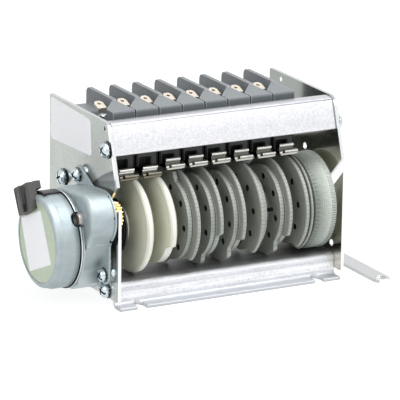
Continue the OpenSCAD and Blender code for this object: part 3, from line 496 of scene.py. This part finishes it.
# Frame screws: pan heads with a slot and cross recess, zinc-plated, each on a toothed lock
# washer. They hold the rail, the rear tie and the pan to the end plates.
def carved(body, cutters):
    """A mesh of body minus each cutter, all of them bmeshes."""
    made = []
    for bm in [body] + cutters:
        mesh = bpy.data.meshes.new("carving")
        bm.to_mesh(mesh)
        bm.free()
        made.append(bpy.data.objects.new("carving", mesh))
        bpy.context.scene.collection.objects.link(made[-1])
    for cutter in made[1:]:
        cut = made[0].modifiers.new("cut", "BOOLEAN")
        cut.object, cut.solver = cutter, "EXACT"
    shown = made[0].evaluated_get(bpy.context.evaluated_depsgraph_get())
    result = bpy.data.meshes.new_from_object(shown)
    for one in made:
        bpy.data.objects.remove(one)
    return result


def turned(bm, outline, steps):
    """Spins an outline of (radius, height) about Z into a closed solid."""
    verts = [bm.verts.new((radius, 0, height)) for radius, height in outline]
    edges = [bm.edges.new(pair) for pair in zip(verts, verts[1:])]
    bmesh.ops.spin(bm, geom=verts + edges, cent=(0, 0, 0), axis=(0, 0, 1), angle=2 * math.pi,
                   steps=steps, use_merge=True)
    bmesh.ops.remove_doubles(bm, verts=list(bm.verts), dist=1e-4)
    bmesh.ops.recalc_face_normals(bm, faces=list(bm.faces))


def screw_mesh(head_d, head_h, shank_d, shank_len, washer_r, teeth):
    """A screw along +Z, in millimetres, its washer's underside at the origin. The bottom of the
    recess and the gaps between the washer's teeth take the second material, a painted shade."""
    washer_t, slot_w = 0.9, 1.0
    r = head_d / 2
    head = bmesh.new()
    crown = [(0, 1), (0.4, 0.98), (0.74, 0.84), (0.95, 0.52), (1, 0.25), (1, 0)]
    turned(head, [(r * part, head_h * rise + washer_t) for part, rise in crown] + [
        (shank_d / 2, washer_t), (shank_d / 2, 0.3 - shank_len), (shank_d / 2 - 0.3, -shank_len),
        (0, -shank_len)], 32)
    recess = []
    for angle, length, depth in ((0, 2 * head_d, 1.0), (math.pi / 2, head_d * 0.62, 1.1)):
        recess.append(bmesh.new())
        bmesh.ops.create_cube(recess[-1], size=1, matrix=(
            Matrix.Rotation(angle, 4, "Z") @ Matrix.Translation((0, 0, washer_t + head_h * 1.05))
            @ Matrix.Diagonal((length, slot_w, head_h * depth, 1))))
    mesh = carved(head, recess)
    ring = bmesh.new()
    ring.from_mesh(mesh)
    for face in ring.faces:
        middle = face.calc_center_median()
        in_slot = middle.xy.length < r * 0.93 and 0.5 < (middle.z - washer_t) / head_h < 0.93
        square = face.normal.z > 0.995 or abs(face.normal.z) < 0.05
        face.material_index = int(in_slot and square)
    outer = bmesh.ops.create_circle(ring, cap_ends=True, radius=washer_r, segments=2 * teeth)
    for vert in outer["verts"][1::2]:
        vert.co *= 0.8
    flat = list(outer["verts"][0].link_faces)
    raised = bmesh.ops.extrude_face_region(ring, geom=flat)
    top = shift(ring, raised, (0, 0, washer_t * 0.85))
    for vert in top:
        for face in vert.link_faces:
            face.material_index = int(len(face.verts) == 4)
    bmesh.ops.rotate(ring, verts=top, cent=(0, 0, 0),
                     matrix=Matrix.Rotation(math.pi / teeth * 0.8, 3, "Z"))
    bmesh.ops.recalc_face_normals(ring, faces=list(ring.faces))
    ring.to_mesh(mesh)
    ring.free()
    return mesh


def copies(mesh, matrices):
    """One bmesh with a copy of a mesh in millimetres at each matrix."""
    bm = bmesh.new()
    for matrix in matrices:
        one = mesh.copy()
        one.transform(matrix @ Matrix.Scale(0.001, 4))
        bm.from_mesh(one)
        bpy.data.meshes.remove(one)
    return bm


def facing(x, y, z, out, turn):
    """A screw's matrix: at a plate's face, its head towards -X or +X, and turned by an angle."""
    return (Matrix.Translation(at(x, y, z)) @ Matrix.Rotation(math.radians(90 * out), 4, "Y")
            @ Matrix.Rotation(math.radians(turn), 4, "Z"))


plated = finish("bluish plated steel",
                lambda s, p: noise(s, p, 1.2, 2).mix(rgb(186, 200, 206), rgb(216, 226, 230)),
                lambda s, p: 0.16 + 0.14 * noise(s, p, 3), metallic=1.0, edge_mm=0.15)
# Painted shade: dark steel for the bottoms of the screws' recesses and the gaps in the washers.
shadowed = finish("recess painted shade",
                  lambda s, p: noise(s, p, 2, 2).mix(rgb(24, 26, 28), rgb(70, 74, 78)),
                  lambda s, p: 0.3 + 0.2 * noise(s, p, 3), metallic=1.0)
frame_screw = screw_mesh(head_d=7.4, head_h=2.6, shank_d=4.0, shank_len=7.6, washer_r=4.4,
                         teeth=12)
screws_at = [(12.53, 78.6), (60.0, 53.1), (11.9, 8.2), (64.6, 8.2)]
left_turns, right_turns = (60, 25, 75, 10), (15, 50, 80, 35)
frame_screws = piece("rail_tie_and_pan_screws", copies(
    frame_screw,
    [facing(0, y, z, -1, turn) for (y, z), turn in zip(screws_at, left_turns)]
    + [facing(frame_len, y, z, 1, turn) for (y, z), turn in zip(screws_at, right_turns)]),
    [plated, shadowed], "frame")
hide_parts("frame_screws")

# Gearmotor: a drawn can with a pale moulded end disc and a bare white sticker, and a
# pear-shaped gear case with an oiled bearing, all of bluish zinc-plated steel. They are on a
# thin staked plate whose two ears are screwed to the end plate.
output_y, output_z = 11.2, 46.0
seam_x, band_x, band_w = -16.6, -20.4, 3.2
stakes = [(-2.2, 5.9, 56.9), (-2.2, -0.7, 48.1), (-2.2, 3.2, 35.2)]


def motor_colour(s, p):
    """Streaked zinc, with painted shade on the can before its seam and painted light low on the
    gear case, a painted highlight on the seam between two lines of painted shade, and painted
    shade in the dent of each stake."""
    x, y, z = plate_mm(p)
    streak = noise(s, p, 0.25, 4, (0.4, 1, 1))
    grain = noise(s, p, 2.5, 2)
    base = (0.6 * streak + 0.4 * grain).mix(rgb(138, 151, 155), rgb(194, 203, 206))
    # Painted shade on the can, deepening towards the seam.
    seam_band_painted_shade = ((x - band_x) / band_w).clamp() * (x < seam_x)
    base = (0.85 * seam_band_painted_shade).mix(base, rgb(96, 106, 109))
    # Painted light low on the gear case.
    low = ((42.0 - z) / 14.0).clamp()
    base = ((0.08 + 0.52 * low) * (x > seam_x + 0.6)).mix(base, rgb(208, 216, 218))
    # A painted highlight on the seam, between two lines of painted shade.
    crown = x.near(seam_x, 0.34)
    base = crown.mix(base, rgb(214, 220, 224))
    dark = x.near(seam_x - 0.1, 0.75) - crown
    # Painted shade in the dent of each stake.
    for stake in stakes:
        dark = dark + (away(p, *stake) < 0.85)
    return dark.clamp().mix(base, rgb(22, 22, 24))


def bearing_colour(s, p):
    """Grey, with painted shade in the shaft's hole in the end face."""
    _, y, z = plate_mm(p)
    y, z = y - output_y, z - output_z
    bore_painted_shade = (s.math("SQRT", y * y + z * z) < 1.7) * (abs(normal(s, "x")) > 0.7)
    steel_grey = noise(s, p, 1.5, 3).mix(rgb(140, 137, 135), rgb(196, 194, 192))
    return bore_painted_shade.mix(steel_grey, rgb(22, 20, 19))


motor_zinc = finish("bluish zinc plate", motor_colour,
                    lambda s, p: 0.5 + 0.14 * noise(s, p, 0.7, 3), metallic=1.0,
                    bump=lambda s, p: noise(s, p, 1.6, 3), bump_mm=0.03, edge_mm=0.3)
dress(motor_zinc, "motor_can", "gear_case", "motor_plate", "motor_spacers")
resin = finish("pale green resin",
               lambda s, p: noise(s, p, 0.3, 4).mix(rgb(178, 194, 168), rgb(197, 209, 186)), 0.32,
               bump=lambda s, p: noise(s, p, 0.5, 2), bump_mm=0.04)
dress(resin, "motor_face")
bearing_steel = finish("oiled steel", bearing_colour, lambda s, p: 0.3 + 0.15 * noise(s, p, 3),
                       metallic=1.0, edge_mm=0.5)
dress(bearing_steel, "output_bearing")
motor_face_x = -28.9
motor_corners = [(48.3, 38.6), (26.6, 48.2), (14.4, 24.1), (38.4, 14.0)]
piece("motor_label", sticker(motor_corners, motor_face_x, 0.12, 0.8), [paper], "frame")

# Connector and insulating strip: a ribbed block of dark grey plastic, with two grooves in
# its end face, where the motor's lead plugs in. Behind it a strip of black insulation is
# wrapped on the can.
groove_w, groove_low, groove_high, groove_face_x = 1.7, 44.5, 57.5, -31.0
grooves = [(42.9, 43.1, 0.16), (36.6, 47.5, 0.14)]


def connector_colour(s, p):
    """Dark grey, with the grooves, each through a (y, z) at a slope, in shadow."""
    x, y, z = plate_mm(p)
    shadow = 0.0
    for through_y, through_z, slope in grooves:
        shadow = shadow + y.near(through_y + slope * (z - through_z), groove_w / 2)
    shadow = shadow * z.within(groove_low, groove_high) * (x < groove_face_x)
    return shadow.mix(noise(s, p, 1.5, 3).mix(rgb(52, 51, 50), rgb(84, 82, 81)), rgb(8, 8, 8))


# Rounded edges get a painted highlight.
grey_plastic = finish("dark grey moulding", connector_colour,
                      lambda s, p: 0.4 + 0.12 * noise(s, p, 5),
                      bump=lambda s, p: noise(s, p, 6, 2), bump_mm=0.02,
                      edge_mm=0.3, edge_colour=rgb(120, 118, 117))
dress(grey_plastic, "motor_connector")
# Rounded edges get a painted highlight.
black = finish("black moulding",
               lambda s, p: noise(s, p, 1.5, 3).mix(rgb(24, 23, 23), rgb(40, 38, 38)),
               lambda s, p: 0.28 + 0.12 * noise(s, p, 3), edge_mm=0.2, edge_colour=rgb(80, 78, 78))
dress(black, "insulator_strip")

# Motor screws: smaller plated screws of the same kind, one through each ear of the motor's
# plate into the end plate.
motor_screw = screw_mesh(head_d=6.4, head_h=2.4, shank_d=3.4, shank_len=6.0, washer_r=3.8,
                         teeth=10)
ear_face_x = -2.6
motor_screws = piece("motor_ear_screws", copies(
    motor_screw, [facing(ear_face_x, 38.7, 59.9, -1, 70), facing(ear_face_x, 9.9, 16.8, -1, 55)]),
    [plated, shadowed], "frame")
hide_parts("motor_screws")

# Rivets: a plated steel dome beside each ear of the motor's plate, set in a spare hole of the
# end plate.
rivet_r, rivet_h, rivet_len = 2.4, 1.5, 1.4
rivet = bmesh.new()
turned(rivet, [(0, rivet_h), (rivet_r * 0.5, rivet_h * 0.9), (rivet_r * 0.85, rivet_h * 0.55),
               (rivet_r, rivet_h * 0.15), (rivet_r, 0), (rivet_r * 0.6, 0),
               (rivet_r * 0.6, -rivet_len), (0, -rivet_len)], 24)
rivet_mesh = bpy.data.meshes.new("rivet")
rivet.to_mesh(rivet_mesh)
rivet.free()
piece("plate_rivets", copies(
    rivet_mesh, [facing(0, 5.8, 18.9, -1, 0), facing(0, 35.5, 62.0, -1, 0)]),
    [plated], "frame")

# Camshaft, stacking rods and lever pins: plain turned rods of bright steel. The camshaft runs
# in two flanged bushings of sintered bronze, and a brass pinion on the motor drives its gear.
steel = finish("bright screw steel", rgb(190, 200, 205), lambda s, p: 0.2 + 0.2 * noise(s, p, 3),
               metallic=1.0)
dress(steel, "camshaft", "stack_rods", "lever_pins")
bronze = finish("sintered bronze", rgb(170, 140, 95), lambda s, p: 0.5 + 0.1 * noise(s, p, 5),
                metallic=1.0)
dress(bronze, "left_bushing", "right_bushing")
brass = finish("brass",
               lambda s, p: noise(s, p, 0.8, 2).mix(rgb(236, 214, 140), rgb(252, 242, 190)),
               lambda s, p: 0.2 + 0.12 * noise(s, p, 5), metallic=1.0, edge_mm=0.08)
dress(brass, "output_pinion", "shaft_gear")

# Drum and first two cams: a black moulded drum, then two wheels of ivory acetal with fixed
# lobes, pressed on the camshaft. The ivory has painted light on the rims and painted shade on
# the faces, deepening towards the hub.
shaft_y, shaft_z = 23.5, 36.8


def round_the_shaft(s, p):
    """Radius in millimetres and turns about the camshaft, from the front over the top."""
    y = p.part("y") - (shaft_y - centre.y)
    z = p.part("z") - shaft_z
    return s.math("SQRT", y * y + z * z), s.math("ARCTAN2", z, 0.0 - y) / (2 * math.pi) + 0.5


def on_the_rim(s):
    """1 on surfaces that face away from the shaft, 0 on the discs' side faces."""
    return abs(normal(s, "x")) < 0.6


def ivory_colour(s, p):
    radius, _ = round_the_shaft(s, p)
    # Painted shade on the faces, deepening towards the hub, and painted light on the rims.
    face = ((radius - 9.0) / 12.0).clamp().mix(rgb(148, 149, 128), rgb(226, 227, 210))
    lit_rim_shaded_face = on_the_rim(s).mix(face, rgb(246, 247, 238))
    return (0.12 * noise(s, p, 0.4, 3)).mix(lit_rim_shaded_face, rgb(190, 190, 168))


dress(black, "black_drum")
ivory = finish("ivory acetal", ivory_colour, 0.36, bump=lambda s, p: noise(s, p, 0.4, 2),
               bump_mm=0.03, edge_mm=0.2)
dress(ivory, "cam_1", "cam_2")

# Grey cams: six pairs of grey acetal discs with a graduated rim and a ring of adjusting
# holes. Each disc turns on its hub to set when its switch trips.
marks, hole_ring_r = 72, 16.0
last_cam_x = 107.7


def beside_wheel(p):
    """1 on the last disc's side, in the shade of the end wheel."""
    return p.part("x") + centre.x > last_cam_x


def cam_colour(s, p):
    """Clouded grey with a graduated rim painted lighter as lit, with wear; painted shade in the
    holes and beside the end wheel.
    """
    radius, turn = round_the_shaft(s, p)
    base = 0.5 * noise(s, p, 0.35, 3) + 0.5 * noise(s, p, 2.5, 2)
    base = base.mix(rgb(128, 132, 123), rgb(156, 160, 151))
    # The rims are painted lighter, as lit, with wear.
    rim = on_the_rim(s) * (radius > 20.0)
    painted_light_and_wear = rim.mix(base, noise(s, p, 1.5, 3).mix(rgb(148, 154, 147), rgb(190, 196, 189)))
    tick = rim * ((turn * marks).fract() < 0.13)
    # Painted shade in the holes, and on the last disc beside the end wheel.
    hole_painted_shade = radius.near(hole_ring_r, 1.72) * on_the_rim(s)
    inside = (hole_painted_shade + beside_wheel(p) * (radius > 15.0)).clamp()
    return inside.mix((tick * 0.6).mix(painted_light_and_wear, rgb(70, 74, 68)), rgb(40, 41, 38))


# Rounded edges get a painted highlight, and painted shade beside the end wheel.
cam_grey = finish("grey acetal", cam_colour, lambda s, p: 0.36 + 0.14 * noise(s, p, 2, 3),
                  bump=lambda s, p: noise(s, p, 1.2, 3), bump_mm=0.03, edge_mm=0.2,
                  edge_colour=lambda s, p: beside_wheel(p).mix(rgb(188, 194, 188), rgb(40, 38, 35)))
dress(cam_grey, *["cam_%d_%s" % (i, side) for i in range(3, 9) for side in ("left", "right")])

# End wheel: a mottled grey moulding at the shaft's right end, with a graduated lip on its
# left, a pale band with a net of shallow cells and a knurled right edge to turn it by.
wheel_x, lip_x, knurl_x = 110.6, 111.4, 118.4
net_count, knurl_count, net_pitch = 132, 120, 1.15


def wheel_colour(s, p):
    radius, turn = round_the_shaft(s, p)
    x = p.part("x") + centre.x
    cells = s.add("ShaderNodeTexVoronoi", {"feature": "F1"},
                  {"Vector": p, "Scale": 1.25, "Randomness": 0.7})
    speck = (0.5 * noise(s, p, 1.2, 3) + 0.7 * cells - 0.05).clamp()
    # Painted light: the body is darker at the left and paler towards the right.
    body = ((x - wheel_x) / 9.0).clamp().mix(speck.mix(rgb(92, 101, 92), rgb(146, 154, 145)),
                                             speck.mix(rgb(186, 196, 187), rgb(238, 244, 237)))
    # Painted shade in the gaps of the knurl.
    knurl_gap_painted_shade = on_the_rim(s) * ((turn * knurl_count).fract() < 0.3) * (x > knurl_x)
    tick = on_the_rim(s) * ((turn * marks).fract() < 0.16) * (x < lip_x)
    net = ((turn * net_count).fract() < 0.5) * ((x / net_pitch).fract() < 0.5)
    net = net * x.within(lip_x, knurl_x)
    return (0.75 * (knurl_gap_painted_shade + tick) + 0.3 * net).clamp().mix(body, rgb(70, 76, 70))


# Rounded edges get a painted highlight.
mottled = finish("mottled moulding", wheel_colour, lambda s, p: 0.34 + 0.2 * noise(s, p, 1.5, 3),
                 bump=lambda s, p: noise(s, p, 1.1, 3), bump_mm=0.12,
                 edge_mm=0.12, edge_colour=rgb(205, 212, 205))
dress(mottled, "end_wheel")

# Peg: a short dark pin that stands out from cam 6's right disc, in front of the shaft. It
# turns with the disc.
peg_at, peg_r, peg_len = (85.2, 5.9, 39.7), 1.0, 5.6
peg = bmesh.new()
bmesh.ops.create_cone(peg, cap_ends=True, cap_tris=False, segments=16, radius1=peg_r / 1000,
                      radius2=peg_r / 1000, depth=peg_len / 1000,
                      matrix=Matrix.Translation(at(*peg_at)) @ Matrix.Rotation(math.pi / 2, 4, "Y"))
peg_black = finish("dark pin", lambda s, p: noise(s, p, 2, 2).mix(rgb(5, 5, 5), rgb(16, 15, 15)),
                   0.7, ior=1.15)
piece("cam_peg", peg, [peg_black], "shaft_set")

# Switches: eight snap switches in dark grey moulded cases, stacked on two rods. Each has a
# spade terminal bent over its top bay, two at its rear and a clamp screw.
switch_pitch, first_switch_x = 12.7, 7.1
step_y, front_y, front_z = 22.2, 29.0, 80.0
window_x, window_z = (1.9, 8.4), (65.4, 70.2)


def case_colour(s, p):
    """Above the rail the front faces are painted with shade, darker than the tops; below it the
    front is painted with the rail's shade, with its black window and side gaps in painted shade.
    """
    x, y, z = plate_mm(p)
    body = 0.5 * noise(s, p, 0.4, 3) + 0.5 * noise(s, p, 3.5, 2)
    body = body.mix(rgb(122, 127, 131), rgb(144, 149, 152))
    # Painted shade on the front faces above the rail, darker than the lit tops.
    body = (0.7 * (y < step_y) * (z > front_z)).mix(body, rgb(100, 106, 110))
    across = ((x - first_switch_x) / switch_pitch).fract() * switch_pitch
    front = (y < front_y) * (z < front_z)
    window = across.within(*window_x) * z.within(*window_z)
    # The gaps between the cases are painted in shade.
    side = abs(across - switch_pitch / 2) > 5.0
    # Painted shade below the rail, cast by it.
    under_rail_painted_shade = noise(s, p, 1.8, 4).mix(rgb(50, 52, 53), rgb(104, 107, 108))
    return (front * (window + side)).clamp().mix(front.mix(body, under_rail_painted_shade), rgb(14, 14, 14))


# Rounded edges get a painted highlight above the rail and painted shade below it.
def case_edge_colour(s, p):
    return (p.part("z") < front_z).mix(rgb(206, 210, 211), rgb(30, 31, 32))


case_grey = finish("switch case moulding", case_colour,
                   lambda s, p: 0.36 + 0.14 * noise(s, p, 4, 2), ior=1.3,
                   bump=lambda s, p: noise(s, p, 5, 2), bump_mm=0.02,
                   edge_mm=0.7, edge_colour=case_edge_colour)
dress(case_grey, *["switch_%d" % i for i in range(1, 9)])
tin = finish("tinned copper",
             lambda s, p: noise(s, p, 0.5, 3).mix(rgb(236, 220, 196), rgb(252, 246, 236)),
             lambda s, p: 0.22 + 0.14 * noise(s, p, 2), metallic=1.0, edge_mm=0.15)
dress(tin, "spade_terminals")
dress(plated, "terminal_screws")

# Levers: blanked and rolled from bright nickel-plated strip. Each hinges on a pin under its
# switch and rests over its cam. Over the two ivory cams the lower bar is painted with shade and
# a brownish painted reflection of the ivory.
tab_h, bar_depth = 6.6, 1.3


def lever_finish(number):
    """Painted light: bright on the rolled bars in front, and brushed on the tab between them, with
    bands of painted shade under the top bar.
    """
    low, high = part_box("lever_%d" % number)
    front, top = low[1] * 1000, high[2] * 1000
    # The lower bar is painted bright as lit, and over the ivory cams with shade and a brownish
    # painted reflection of the ivory.
    lower_bar_painted_light = rgb(196, 196, 190) if number > 2 else rgb(122, 117, 102)

    def colour(s, p):
        height = (p.part("z") - (top - tab_h)) / tab_h
        # Painted shade in bands on the tab under the top bar, and painted light at its top.
        tab = height.ramp(
            (0.0, rgb(120, 120, 114)), (0.16, rgb(150, 150, 144)), (0.28, rgb(110, 110, 105)),
            (0.45, rgb(70, 70, 66)), (0.62, rgb(92, 92, 87)), (0.72, rgb(58, 58, 55)),
            (0.76, rgb(230, 230, 226)), (1.0, rgb(240, 240, 237)))
        lower = (height > 0.1).mix(rgb(132, 132, 126), lower_bar_painted_light)
        bar = (height > 0.5).mix(lower, rgb(218, 218, 213))
        metal = (p.part("y") < front + bar_depth).mix(tab, bar)
        return (0.35 * noise(s, p, 1.2, 3, (0.2, 1, 1))).mix(metal, rgb(120, 120, 114))

    return finish("nickel of lever %d" % number, colour,
                  lambda s, p: 0.14 + 0.12 * noise(s, p, 2, 2), metallic=1.0)


for number in range(1, 9):
    dress(lever_finish(number), "lever_%d" % number)
